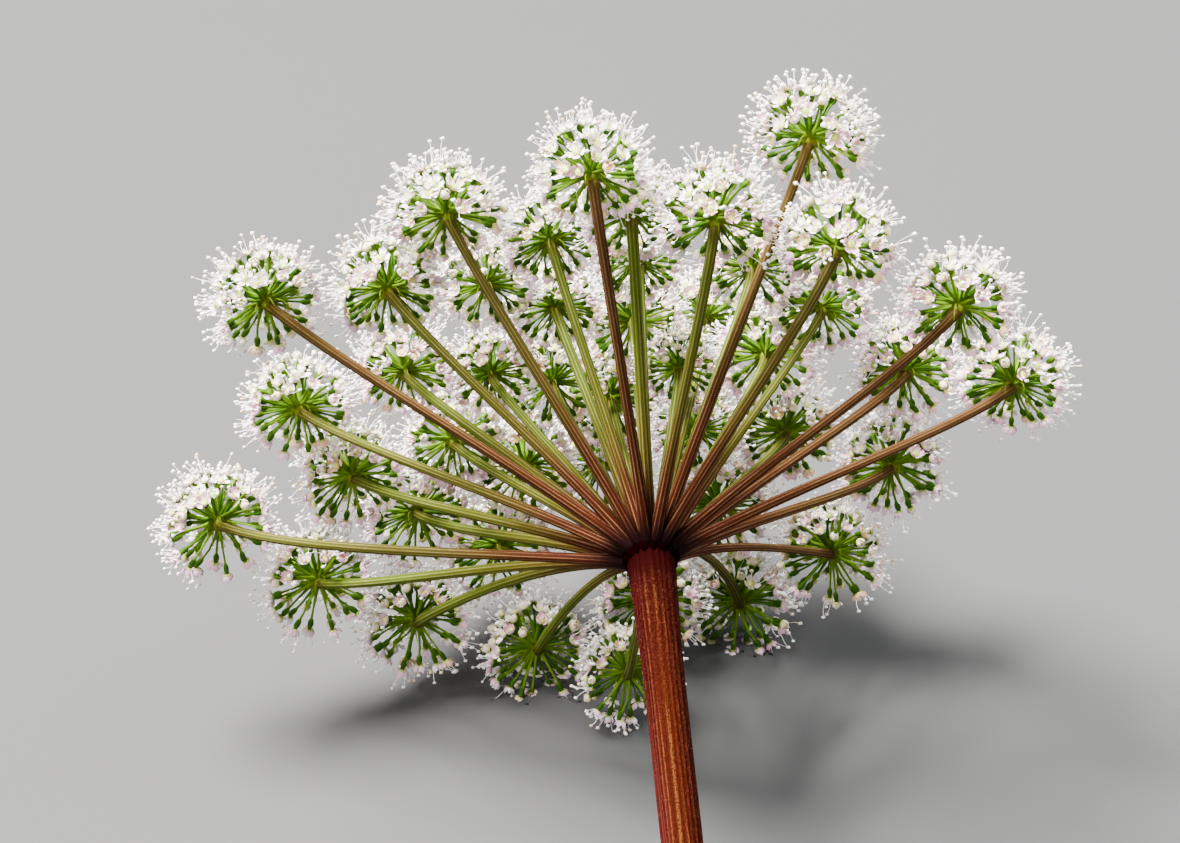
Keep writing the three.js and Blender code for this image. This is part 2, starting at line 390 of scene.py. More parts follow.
stem_rise = math.asin((HUB[2] - STEM_CUT_HEIGHT + STEM_PRESS) / STEM_END)
axis = np.array([0, math.cos(stem_rise), math.sin(stem_rise)])
stem_across = np.array([1.0, 0, 0])
stem_over = np.cross(stem_across, axis)
stem_top = HUB - axis * STEM_BELOW_HUB


def stem_ribs(turn, below):
    """How high a rib stands, from 0 in a groove to 1 on its crest."""
    uneven = STEM_RIB_UNEVEN * np.sin(2 * turn + 0.6)
    wander = uneven + STEM_RIB_SWAY * np.sin(5 * turn + below / STEM_SWAY_LENGTH)
    return 0.5 + 0.5 * np.cos(STEM_RIBS * (turn + wander))


def stem_radius(rib, below):
    """From the stem's axis out to its skin."""
    flare = STEM_FLARE * np.maximum(0, 1 - below / STEM_FLARE_LENGTH) ** 2
    return STEM_WAIST + flare - STEM_RIB_DEPTH * (1 - rib) ** STEM_RIB_SHARPNESS


def stem_tube(below, radius):
    """Rings round the stem's axis, this far below its top."""
    path = (stem_top - below[:, None] * axis)[None]
    return tube(path, stem_across[None, None], stem_over[None, None], radius[None], STEM_COLUMNS)


def add_stem_skin(growth):
    """The ribbed skin. Returns its ring of points at the top and its radii at the cut."""
    below = STEM_LENGTH * np.linspace(0, 1, STEM_ROWS) ** STEM_ROW_CROWD
    turn = 2 * np.pi * np.arange(STEM_COLUMNS) / STEM_COLUMNS
    turns, belows = np.meshgrid(turn, below)
    rib = stem_ribs(turns, belows)
    radius = stem_radius(rib, belows)
    grain = np.stack([radius * np.cos(turns), radius * np.sin(turns), belows], axis=-1)
    # The warm brown face looks towards the camera, with crimson at both sides of it.
    facing = math.atan2(-away @ stem_over, -away @ stem_across)
    warm = 0.5 + 0.5 * np.cos(turns - facing - WARM_TURN)
    warm = warm ** WARM_FOCUS * np.clip(WARM_AT_TOP + belows / WARM_LENGTH, 0, 1)
    # The left side, where a pinkish sheen is painted.
    left = np.clip(np.cos(turns - facing - SHEEN_TURN) * 2 - 1, 0, 1)
    points = stem_tube(below, radius)
    growth.add(flat(points), tube_faces(STEM_ROWS, STEM_COLUMNS)[:1], STEM_SKIN,
               grain=flat(grain[None]), rib=rib.reshape(1, -1), warm=warm.reshape(1, -1),
               left=left.reshape(1, -1), below=belows.reshape(1, -1))
    return points[:, 0], radius[-1]


def add_cut_end(growth, rim):
    """The cut end: a dark rind, the pale pith and the hollow in its middle."""
    points = stem_tube(STEM_LENGTH - CUT_RINGS[:, 1], rim[None] * CUT_RINGS[:, :1])
    side, ends = [np.flip(group, axis=1) for group in tube_faces(len(CUT_RINGS), STEM_COLUMNS)]
    growth.add(flat(points), [side, ends[1:]], STEM_PITH,
               rib=np.repeat(CUT_RINGS[:, 0], STEM_COLUMNS)[None])


def add_stem_down(growth):
    """Short hairs all over the skin, each tilted its own way."""
    draw = np.random.default_rng(STEM_SEED)
    downy = STEM_LENGTH - STEM_BARE_TOP - STEM_BARE_END
    below = STEM_BARE_TOP + draw.random(STEM_HAIRS) ** STEM_HAIR_CROWD * downy
    turn = draw.random(STEM_HAIRS) * 2 * np.pi
    out = np.cos(turn)[:, None] * stem_across + np.sin(turn)[:, None] * stem_over
    radius = stem_radius(stem_ribs(turn, below), below)
    feet = stem_top - below[:, None] * axis + out * (radius - HAIR_SINK)[:, None]
    way = unit(out + STEM_HAIR_TILT * draw.normal(size=(STEM_HAIRS, 3)))
    length = STEM_HAIR_LENGTH * (HAIR_SHORTEST + draw.random((STEM_HAIRS, 1)))
    hairs = spikes(feet, way, unit(np.cross(way, axis)), length, STEM_HAIR_WIDTH)
    growth.add(hairs, SPIKE_FACES, STEM_DOWN)


def build_stem():
    growth = Growth()
    top, rim = add_stem_skin(growth)
    add_cut_end(growth, rim)
    # The face over the top, which the rays' crown covers.
    growth.add(top, [np.arange(STEM_COLUMNS)[None]], STEM_SKIN, rib=np.zeros((1, 1)))
    add_stem_down(growth)
    stem = growth.piece("stem_skin", [stem_finish(), pith_finish(), down])
    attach(stem, "root")
    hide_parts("stem")


down = down_finish()
build_stem()


# The rays are solid grooved stalks, 43 to 78 mm long, that run together in a low dark red
# crown on top of the stem. They are rust red there, turn olive and golden towards their
# ends, and each bears one umbellet.
Umbellet = namedtuple(
    "Umbellet", "across above length side bow lean_right lean_up red pink budding")

# Where each umbellet's knot lies, right of the hub and above it as the camera sees them,
# its straight distance from the hub, and its side (-1 near, 1 far); how far its ray bows
# up; how much it leans right and up; how red its ray is; how pink its florets are; and the
# share of them in bud.
UMBELLETS = [Umbellet(*row) for row in [
    [25.3, 65, 72.5, -1, 0, 1, 0, 0.85, 0.3, 0.05],
    [-9, 58, 68, -1, 0, 0, 0, 0.85, 0.1, 0.05],
    [-3, 53, 56, -1, 0, 0, 0, 0.1, 0.25, 0.1],
    [-32, 53, 65, -1, 0, 0, 0, 0.55, 0.1, 0.1],
    [-61, 39.6, 74.5, -1, 0, -0.7, -0.5, 0.75, 0.1, 0.1],
    [-42, 42, 60, -1, 0, 0, 0, 0.5, 0.2, 0.1],
    [10, 51, 62, -1, 0, 0, 0, 0.35, 0.3, 0.1],
    [29, 47, 63, -1, 0, 0.4, 1.5, 0.6, 0.5, 0.1],
    [49, 39, 64, -1, 0, 0, 0, 0.9, 0.45, 0.1],
    [60.5, 28, 69, 1, 0, 0, 0, 1, 0.4, 0.1],
    [-16, 50, 53, -1, 0, 0, 0, 0.3, 0.3, 0.1],
    [-27, 44, 53, 1, 0, 0, 0, 0.1, 0.5, 0.15],
    [-16, 41, 51, 1, 0, 0, 0, 0.1, 0.3, 0.15],
    [-27, 30, 50, 1, 0, 0, 0, 0.15, 0.4, 0.15],
    [-41, 30, 54, 1, 0, 0, 0, 0.2, 0.6, 0.15],
    [-17, 29, 56, 1, 0, 0, 0, 0.1, 0.4, 0.15],
    [-2, 48, 50, 1, 0, 0, 0, 0.05, 0.3, 0.15],
    [-3, 40, 62, 1, 0, 0, 0, 0.1, 0.4, 0.15],
    [5, 31, 43, 1, 0, 0, 0, 0.1, 0.4, 0.15],
    [10, 41, 74, 1, 0, 0, 0, 0.1, 0.3, 0.15],
    [17, 47, 52, 1, 0, 0, 0, 0.15, 0.5, 0.15],
    [20, 34, 60, 1, 0, 0, 0, 0.3, 0.5, 0.15],
    [29, 41, 57, 1, 0, 0, 0, 0.3, 0.4, 0.15],
    [-34, 19, 58, 1, 0, 0, 0, 0.25, 0.5, 0.15],
    [-22, 15, 63, 1, 0, 0, 0, 0.15, 0.4, 0.15],
    [-41, 7, 69, 1, 0, 0, 0, 0.2, 0.5, 0.2],
    [-27, 1, 74, 1, 0, 0, 0, 0.2, 0.5, 0.2],
    [-7, 27, 66, 1, 0, 0, 0, 0.2, 0.4, 0.15],
    [-9, 16, 77, 1, 0, 0, 0, 0.2, 0.4, 0.2],
    [24, 21, 66, 1, 0, 0, 0, 0.4, 0.4, 0.2],
    [12, 8, 65, 1, 0, 0, 0, 0.4, 0.4, 0.2],
    [8, 21, 53, 1, 0, 0, 0, 0.3, 0.4, 0.2],
    [44, 31, 66, 1, 0, 0, 0, 0.8, 0.4, 0.15],
    [42, 15, 66, 1, 0, 0, 0, 0.7, 0.4, 0.15],
    [32, 0, 66, 1, 2.5, 0, 0, 0.9, 0.3, 0.2],
    [16, -9, 72, 1, 7, 0, 0, 0.5, 0.2, 0.3],
    [-4, -21, 54, 1, 0, 0, 0, 0.4, 0.3, 0.4],
    [-20, -17, 65, 1, 5, 0, 0, 0.15, 0.3, 0.25],
    [-41, -12, 68, 1, 4, 0, 0, 0.15, 0.5, 0.2],
    [-57, -5, 70, 1, 1, 0, 0, 0.1, 0.5, 0.15],
    [-73, 5, 78, 1, -2, 0, 0, 0.45, 0.5, 0.1],
    [-59, 24, 68, 1, 0, 0, 0, 0.45, 0.3, 0.1],
    [-51, 13, 65, 1, 0, 0, 0, 0.3, 0.6, 0.15],
    [0, -8, 61, 1, 0, 0, 0, 0.4, 0.3, 0.35],
]]
# An umbellet faces this many times more along the stem than along its own ray, and the
# last part of the ray, one in RAY_TURN, nods that way.
FACE_UP = 4
RAY_NOD = 0.4
RAY_TURN = 5
# The ray ends this far short of the knot's middle.
RAY_SHORT = 1.15
# Umbellets have their full size from this length of ray on, and shorter rays have smaller
# ones, down to this share of it.
FULL_HEAD_RAY = 60
SMALLEST_HEAD = 0.75
RAY_FOOT_DEPTH = 1.5
RAY_FOOT_SPREAD = 3.1
RAY_SEED = 23
RAY_RADIUS = 0.82
RAY_FOOT_SWELL = 0.45
RAY_FOOT_LENGTH = 9
RAY_END_SWELL = 0.2
RAY_END_LENGTH = 1.4
RAY_WAVE = 0.04
RAY_WAVE_LENGTH = 9
RAY_UNEVEN = 0.05
RAY_TWIST = 0.4
RAY_RIBS = 9
RAY_RIB_DEPTH = 0.07
RAY_COLUMNS = 2 * RAY_RIBS
RAY_ROWS = 36
RAY_RED_UNEVEN = 0.05
RAY_HAIRS = 110
RAY_BARE_ROWS = 4
RAY_HAIR_LENGTH = 0.3
RAY_HAIR_WIDTH = 0.04
RAY_HAIR_TILT = 0.3
RAY_HAIR_LEAN = 0.2
# Each ray takes its pattern this far on from the last one's, and the crown this far aside.
RAY_APART = 400
CROWN_APART = 20
# Each ring of the crown: its radius, and how far it lies above the hub.
CROWN_RINGS = np.array([
    (3.6, -3.3), (4.2, -3.0), (4.7, -2.3), (4.8, -1.4), (4.4, -0.4), (3.4, 0.8), (1.5, 1.8),
])
CROWN_LOBES = 17
CROWN_LOBE_DEPTH = 0.12
CROWN_LOBE_SWAY = 0.6
CROWN_COLUMNS = 4 * CROWN_LOBES
RAY_SKIN, RAY_DOWN, CROWN_SKIN = range(3)


def in_view(across, above, behind):
    """Steps to the right, up and away as the camera sees them."""
    return right * across + up * above + away * behind


def curve_through(corners, steps):
    """A smooth curve that four corners pull into shape."""
    t = np.linspace(0, 1, steps)[:, None]
    a, b, c, d = corners
    return a * (1 - t) ** 3 + 3 * b * t * (1 - t) ** 2 + 3 * c * t ** 2 * (1 - t) + d * t ** 3


def place_umbellet(row):
    """An umbellet's knot, the way it faces, its size, and the corners of its ray's curve."""
    depth = math.sqrt(row.length ** 2 - row.across ** 2 - row.above ** 2)
    reach = in_view(row.across, row.above, row.side * depth)
    bow = up * row.bow
    way = unit(reach - 2 * bow)
    facing = unit(way + axis * FACE_UP + in_view(row.lean_right, row.lean_up, 0))
    knot = HUB + reach
    start = reach / 3 + bow
    end = knot - facing * RAY_SHORT
    bend = end - unit(way + RAY_NOD * facing) * row.length / RAY_TURN
    bend = bend + up * max(row.bow, 0)
    outward = unit(start) - axis * (unit(start) @ axis)
    foot = HUB - axis * RAY_FOOT_DEPTH + outward * RAY_FOOT_SPREAD
    size = min(1, max(SMALLEST_HEAD, row.length / FULL_HEAD_RAY))
    return knot, facing, size, [foot, HUB + start, bend, end]


RAY_OLIVE = (0.075, 0.055, 0.004, 1)
RAY_GREEN = (0.055, 0.085, 0.005, 1)
RAY_RUST = (0.034, 0.004, 0.001, 1)
RAY_BROWN = (0.054, 0.025, 0.007, 1)
GREEN_RAY_LINES = (0.24, 0.22, 0.08, 1)
RED_RAY_LINES = (0.22, 0.12, 0.055, 1)
RAY_GROOVE_SHADE = (0.015, 0.005, 0.001, 1)
RAY_FOOT_SHADE = (0.004, 0.0001, 0.0002, 1)
RAY_END_COLOUR = (0.05, 0.04, 0.003, 1)


def ray_finish():
    """Green or rust red skin with pale dotted lines on its ribs and painted shade in the grooves
    between; painted shade darkens its foot.
    """
    material, wire = new_finish("grooved_ray_skin")
    grain = wire.painted("grain", "Vector")
    rib = wire.painted("rib")
    out = wire.painted("out")
    streak = grain.drawn_out(0.02).mottle(5, 2)
    cloud = grain.drawn_out(0.1).mottle(1.1)
    dots = grain.drawn_out(0.4).mottle(7, 1)
    green = (out + cloud * 0.5).step(0.3, 1.1).mix(RAY_OLIVE, RAY_GREEN)
    rust = out.step(0, 0.85).mix(RAY_RUST, RAY_BROWN)
    redness = wire.painted("red") + out.step(0.5, 0.05) * 0.75 + cloud * 0.4 - 0.2
    redness = redness.step(0.1, 0.95)
    skin = redness.mix(green, rust)
    crest = (rib + streak).step(1.18, 1.4) * (dots.step(0.35, 0.6) * 0.5 + 0.5)
    skin = (crest * 0.6).mix(skin, redness.mix(GREEN_RAY_LINES, RED_RAY_LINES))
    # Painted shade in the grooves between the ribs.
    groove_shade = (rib - streak).step(-0.05, -0.4)
    skin = (groove_shade * 0.45).mix(skin, RAY_GROOVE_SHADE)
    # Painted shade, nearly black, where the rays' feet meet the crown.
    skin = out.step(0.13, 0.03).mix(skin, RAY_FOOT_SHADE)
    wire.surface({
        "Base Color": (out.step(0.94, 1.0) * 0.6).mix(skin, RAY_END_COLOUR),
        "Roughness": 0.8 - streak * 0.15,
        "Normal": streak.relief(0.00004),
        "Specular IOR Level": 0.05,
    })
    return material


# The crown's own dark red, darkened to nearly black by painted shade under the rays.
CROWN_SHADE_DARK = (0.0006, 0.0001, 0.0001, 1)
CROWN_SHADE_RED = (0.003, 0.0001, 0.0002, 1)


def crown_finish():
    """The crown's own dark red under painted shade: nearly black red, with no gloss."""
    material, wire = new_finish("shaded_crown_skin")
    shade = wire.painted("grain", "Vector").mottle(1.5)
    wire.surface({
        "Base Color": shade.mix(CROWN_SHADE_DARK, CROWN_SHADE_RED),
        "Roughness": 0.85 + shade * 0.1,
        "Normal": shade.relief(0.0001),
        "Specular IOR Level": 0.0,
    })
    return material


def ray_sides(tangent, chord, twist):
    """Two directions across a ray at each step of its path, turned by its twist."""
    least = np.eye(3)[np.argmin(np.abs(chord))]
    across = unit(np.cross(tangent, least))
    over = np.cross(tangent, across)
    return (np.cos(twist) * across + np.sin(twist) * over,
            np.cos(twist) * over - np.sin(twist) * across)


def add_ray_hairs(growth, draw, skin, path, tangent):
    """Hairs that stand off a ray's skin and lean towards its end."""
    rows = draw.integers(RAY_BARE_ROWS, RAY_ROWS - 1, RAY_HAIRS)
    columns = draw.integers(0, RAY_COLUMNS, RAY_HAIRS)
    slide = draw.random((RAY_HAIRS, 1))
    feet = skin[rows, columns] * (1 - slide) + skin[rows - 1, columns] * slide
    way = unit(unit(skin[rows, columns] - path[rows])
               + RAY_HAIR_TILT * draw.normal(size=(RAY_HAIRS, 3))
               + RAY_HAIR_LEAN * tangent[rows])
    length = RAY_HAIR_LENGTH * (HAIR_SHORTEST + draw.random((RAY_HAIRS, 1)))
    side = unit(np.cross(way, tangent[rows]))
    growth.add(spikes(feet - way * HAIR_SINK, way, side, length, RAY_HAIR_WIDTH),
               SPIKE_FACES, RAY_DOWN)


def add_ray(growth, draw, number, corners, red):
    """One ribbed ray along its curve, and its hairs."""
    path = curve_through(corners, RAY_ROWS)
    tangent = unit(np.gradient(path, axis=0))
    passed = np.concatenate([[0], np.linalg.norm(np.diff(path, axis=0), axis=1).cumsum()])
    share = passed / passed[-1]
    roll = draw.random() * 2 * np.pi
    twist = roll + RAY_TWIST * draw.normal() * share[:, None]
    across, over = ray_sides(tangent, corners[-1] - corners[0], twist)
    thick = 1 + RAY_FOOT_SWELL * np.exp(-passed / RAY_FOOT_LENGTH)
    thick = thick + RAY_END_SWELL * np.exp((passed - passed[-1]) / RAY_END_LENGTH)
    wave = RAY_WAVE * np.sin(passed / RAY_WAVE_LENGTH + roll)
    thick = thick * (1 + wave + RAY_UNEVEN * draw.normal())
    rib = np.tile([[1.0, 0.0]], (RAY_ROWS, RAY_RIBS))
    radius = RAY_RADIUS * thick[:, None] - RAY_RIB_DEPTH * (1 - rib)
    points = tube(path[None], across[None], over[None], radius[None], RAY_COLUMNS)
    turn = 2 * np.pi * np.arange(RAY_COLUMNS) / RAY_COLUMNS
    grain = np.stack([
        np.cos(turn) * radius,
        np.sin(turn) * radius,
        np.repeat(passed[:, None] + RAY_APART * number, RAY_COLUMNS, axis=1),
    ], axis=-1)
    growth.add(flat(points), tube_faces(RAY_ROWS, RAY_COLUMNS), RAY_SKIN,
               grain=flat(grain[None]), rib=rib.reshape(1, -1),
               red=np.full((1, 1), red + RAY_RED_UNEVEN * draw.normal()),
               out=np.repeat(share, RAY_COLUMNS)[None])
    add_ray_hairs(growth, draw, points[0], path, tangent)


def add_crown(growth):
    """The low lobed crown in which the rays run together."""
    turn = 2 * np.pi * np.arange(CROWN_COLUMNS) / CROWN_COLUMNS
    lobe = 0.5 + 0.5 * np.cos(CROWN_LOBES * turn + CROWN_LOBE_SWAY * np.sin(3 * turn))
    radius = CROWN_RINGS[:, :1] * (1 - CROWN_LOBE_DEPTH * (1 - lobe))
    path = (HUB + CROWN_RINGS[:, 1:] * axis)[None]
    points = tube(path, stem_across[None, None], stem_over[None, None], radius[None],
                  CROWN_COLUMNS)
    grain = np.stack([
        radius * np.cos(turn) - CROWN_APART,
        radius * np.sin(turn),
        np.repeat(CROWN_RINGS[:, 1:], CROWN_COLUMNS, axis=1),
    ], axis=-1)
    growth.add(flat(points), tube_faces(len(CROWN_RINGS), CROWN_COLUMNS), CROWN_SKIN,
               grain=flat(grain[None]))


places = [place_umbellet(row) for row in UMBELLETS]


def build_rays():
    growth = Growth()
    draw = np.random.default_rng(RAY_SEED)
    for number, ((*_, corners), row) in enumerate(zip(places, UMBELLETS)):
        add_ray(growth, draw, number, corners, row.red)
    add_crown(growth)
    rays = growth.piece("ray_spray", [ray_finish(), down, crown_finish()])
    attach(rays, "root")
    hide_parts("rays")


build_rays()


# An umbellet is a small knot with some 65 green stalks in a ball round it, fused at their
# feet. On each stalk sits a dark green seed case, five small petals round a pale swollen
# disc, and five long white stamens. Some florets are still in bud, and a few have faded.
BLOOM_SEED = 900
FLORETS = 65
LOWEST_FLORET = -0.48
RIM_CROWD = 0.12
GOLDEN_TURN = math.pi * (3 - math.sqrt(5))
WAY_UNEVEN = 0.07
REACH_UNEVEN = 0.035
# Low in the head the lower stalks of an umbellet are longer, by up to this share. That
# begins 20 mm above the hub as the camera sees it and is full 5 mm above it. Both are
# counted downwards here.
HANG = 0.24
HANG_LEVELS = (-20, -5)
# Each ring of a stalk: how far it lies from the knot, its radius, and its share of seed case.
CASE_TOP = 7.8
STALK_RINGS = np.array([
    (0.7, 0.5, 0), (2.5, 0.28, 0), (4.8, 0.19, 0),
    (6.2, 0.22, 0.2), (6.65, 0.48, 1), (7.25, 0.54, 1), (CASE_TOP, 0.32, 0.8),
])
STALK_COLUMNS = 5
STALK_FLATNESS = 0.12
STALK_BEND = 0.35
# How dark a seed case is painted, its own dark green deepened by painted shade low in the head:
# level with the knot, how much less so above, and the least.
CASE_SHADE = 0.7
CASE_SHADE_FALL = 0.8
CASE_SHADE_LEAST = 0.2
# Each ring of the knot: how far it lies up the umbellet's axis, its radius, and its rust.
KNOT_RINGS = np.array([
    (-1.7, 0.85, 0.6), (-0.9, 1.1, 0.4), (0.0, 1.25, 0), (0.7, 1.0, 0), (1.1, 0.4, 0),
])
KNOT_COLUMNS = 12
KNOT_LUMPS = 0.06
KNOT_TINT = 0.4
BRACTS = 5
BRACT_ROWS = 5
BRACT_COLUMNS = 4
BRACT_RADIUS = 0.17
BRACT_TAPER = 1.05
BRACT_ROLL = 6
BRACT_FOOT = 0.9
BRACT_REACH = 1.8
BRACT_START = 0.6
BRACT_DROP = 3
BRACT_DROP_UNEVEN = 2
BRACT_DROP_CURVE = 1.5
LOOK_UNEVEN = 0.1
LOOK_UP = 0.12
FADED_SHARE = 0.07
# How far florets open: the least, what a draw adds, and what the lowest of them lose.
OPEN_LEAST = 0.45
OPEN_SPREAD = 0.6
OPEN_LOW_LOSS = 0.8
OPEN_LOW_BELOW = 0.2
OPEN_BUD = -0.35
# Each ring of a disc: how far it rises above the seed case, and its radius.
DISC_RINGS = np.array([(0.0, 0.55), (0.2, 0.8), (0.52, 0.4)])
DISC_COLUMNS = 6
# A petal is a sheet of four steps out by four points across.
PETALS = 5
PETAL_LENGTH = 1.7
PETAL_STEPS = np.array([0, 0.35, 0.72, 1])
PETAL_HALF_WIDTHS = np.array([0.2, 0.55, 0.62, 0.24])
PETAL_ACROSS = np.array([-1, -0.36, 0.36, 1])
PETAL_VEIN = [0.0, 1, 1, 0]
PETAL_TIP = np.array([-0.28, 0.04, 0.04, -0.28])
PETAL_CUP = 0.3
PETAL_FOOT_OUT = 0.42
PETAL_FOOT_UP = 0.02
PETAL_TURN_UNEVEN = 0.08
PETAL_OPEN_UNEVEN = 0.07
PETAL_SLOPE_UNEVEN = 8
PETAL_LENGTH_UNEVEN = 0.08
# Degrees up from the floret's face, at a petal's foot and how many more at its tip.
SHUT_SLOPE = (20, 118)
OPEN_SLOPE = (-7, 90)
PINK_SHARE = 0.55
PINK_LOW = 0.75
PINK_LOW_BELOW = 0.35
PINK_UNEVEN = 0.2
PINK_PETAL_UNEVEN = 0.1
AGE_FADED = 0.8
AGE_FRESH = 0.05
NO_STAMENS_SHARE = 0.12
STAMEN_STEPS = np.array([0, 0.3, 0.66, 1])
STAMEN_COLUMNS = 3
STAMEN_RADIUS = 0.07
STAMEN_FOOT_THICK = 1.1
STAMEN_THINNING = 0.35
STAMEN_FOOT_OUT = 0.5
STAMEN_FOOT_UP = 0.05
STAMEN_LENGTH = 3.5
STAMEN_SHORTEST = 0.4
STAMEN_SPREAD = 0.7
STAMEN_CROWD = 1.6
STAMEN_TURN_UNEVEN = 0.12
STAMEN_LEAN = 0.9
STAMEN_LEAN_UNEVEN = 0.7
STAMEN_SWING_OUT = 1.5
STAMEN_SWING_BACK = 0.6
STAMEN_RISE = 0.9
STAMEN_CURL = 0.9
ANTHER_LOST_SHARE = 0.06
ANTHER_RADIUS = 0.38
ANTHER_UNEVEN = 0.12
ANTHER_HEIGHT = 0.85
ANTHER_ZIGZAG = 0.25
STALK, DISC, PETAL, FILAMENT, ANTHER = range(5)


def bead():
    """The corners and the twelve faces of a small bead with a zigzag rim."""
    turn = np.pi * np.arange(6) / 3
    rim = np.stack([np.cos(turn), np.sin(turn), ANTHER_ZIGZAG * np.cos(3 * turn)], axis=1)
    corners = np.concatenate([[[0, 0, 1]], rim, [[0, 0, -1]]])
    near = 1 + np.arange(6)
    after = np.roll(near, -1)
    top = np.stack([0 * near, near, after], axis=1)
    bottom = np.stack([7 + 0 * near, after, near], axis=1)
    return corners, [np.concatenate([top, bottom])]


STALK_DARK = (0.03, 0.1, 0.001, 1)
STALK_LIGHT = (0.12, 0.24, 0.003, 1)
STALK_FOOT_COLOUR = (0.13, 0.19, 0.004, 1)
CASE_COLOUR = (0.02, 0.068, 0.0004, 1)
KNOT_RUST = (0.08, 0.024, 0.004, 1)


def stalk_finish():
    """Greens that differ from stalk to stalk, darker on the seed cases with painted shade on the
    low ones, rusty at the ray.
    """
    material, wire = new_finish("green_stalk")
    spot = wire.place()
    cloud = spot.mottle(700, 2)
    green = (wire.painted("tint") + cloud * 0.6 - 0.3).step(0, 1).mix(STALK_DARK, STALK_LIGHT)
    green = wire.painted("out").step(0.4, 0).mix(green, STALK_FOOT_COLOUR)
    green = wire.painted("case").mix(green, CASE_COLOUR)
    rust = wire.painted("rust") * cloud.step(0.3, 0.6)
    wire.surface({
        "Base Color": rust.mix(green, KNOT_RUST),
        "Roughness": 0.5 + cloud * 0.2,
        "Normal": spot.mottle(4000, 1).relief(0.00003),
        "Specular IOR Level": 0.1,
    })
    return material


DISC_GREEN = (0.26, 0.42, 0.03, 1)
DISC_CREAM = (0.62, 0.62, 0.16, 1)


def disc_finish():
    """Glossy green to cream, by the floret."""
    material, wire = new_finish("nectar_disc")
    cloud = wire.place().mottle(1500, 1)
    cream = (wire.painted("tint") * 0.7 + cloud * 0.5).step(0.1, 1)
    wire.surface({
        "Base Color": cream.mix(DISC_GREEN, DISC_CREAM),
        "Roughness": 0.3 + cloud * 0.15,
        "Normal": cloud.relief(0.00003),
    })
    return material


PETAL_WHITE = (0.99, 0.96, 0.95, 1)
PETAL_PINK = (0.74, 0.33, 0.56, 1)
PETAL_FOOT_COLOUR = (0.55, 0.68, 0.2, 1)
PETAL_VEIN_COLOUR = (0.82, 0.66, 0.66, 1)
BUD_CREAM = (0.76, 0.72, 0.4, 1)
FADED_TAN = (0.72, 0.42, 0.16, 1)


def petal_finish():
    """White to pink, green at the foot, with a faint vein; buds are cream, old petals tan."""
    material, wire = new_finish("white_petal")
    cloud = wire.place().mottle(900, 2)
    vein = wire.painted("vein")
    pink = (wire.painted("pink") + cloud * 0.5 - 0.25).step(0.1, 1)
    skin = pink.mix(PETAL_WHITE, PETAL_PINK)
    skin = (wire.painted("out").step(0.45, 0) * 0.8).mix(skin, PETAL_FOOT_COLOUR)
    skin = (vein * 0.3).mix(skin, PETAL_VEIN_COLOUR)
    skin = (wire.painted("bud") * 0.7).mix(skin, BUD_CREAM)
    wire.surface({
        "Base Color": (wire.painted("age") * cloud.step(0.2, 0.6)).mix(skin, FADED_TAN),
        "Roughness": 0.5 + cloud * 0.15,
        "Normal": (cloud + vein).relief(0.00004),
    })
    return material


def stamen_finish(name, pale, aged):
    """Nearly white, and darker on the few oldest."""
    material, wire = new_finish(name)
    cloud = wire.place().mottle(1100, 1)
    age = (wire.painted("tint") + cloud * 0.4 - 0.2).step(0.72, 1.05)
    wire.surface({
        "Base Color": age.mix(pale, aged),
        "Roughness": 0.5 + cloud * 0.2,
    })
    return material


FINISHES = [
    stalk_finish(),
    disc_finish(),
    petal_finish(),
    stamen_finish("white_filament", (0.99, 0.98, 0.97, 1), (0.9, 0.8, 0.66, 1)),
    stamen_finish("cream_anther", (0.99, 0.97, 0.92, 1), (0.72, 0.46, 0.24, 1)),
]
BEAD_CORNERS, BEAD_FACES = bead()
UPWARDS = np.array([0, 0, 1.0])


def crossing(ways):
    """Two directions across each way and across each other."""
    least = np.eye(3)[np.argmin(np.abs(ways), axis=-1)]
    across = unit(np.cross(ways, least))
    return across, np.cross(ways, across)


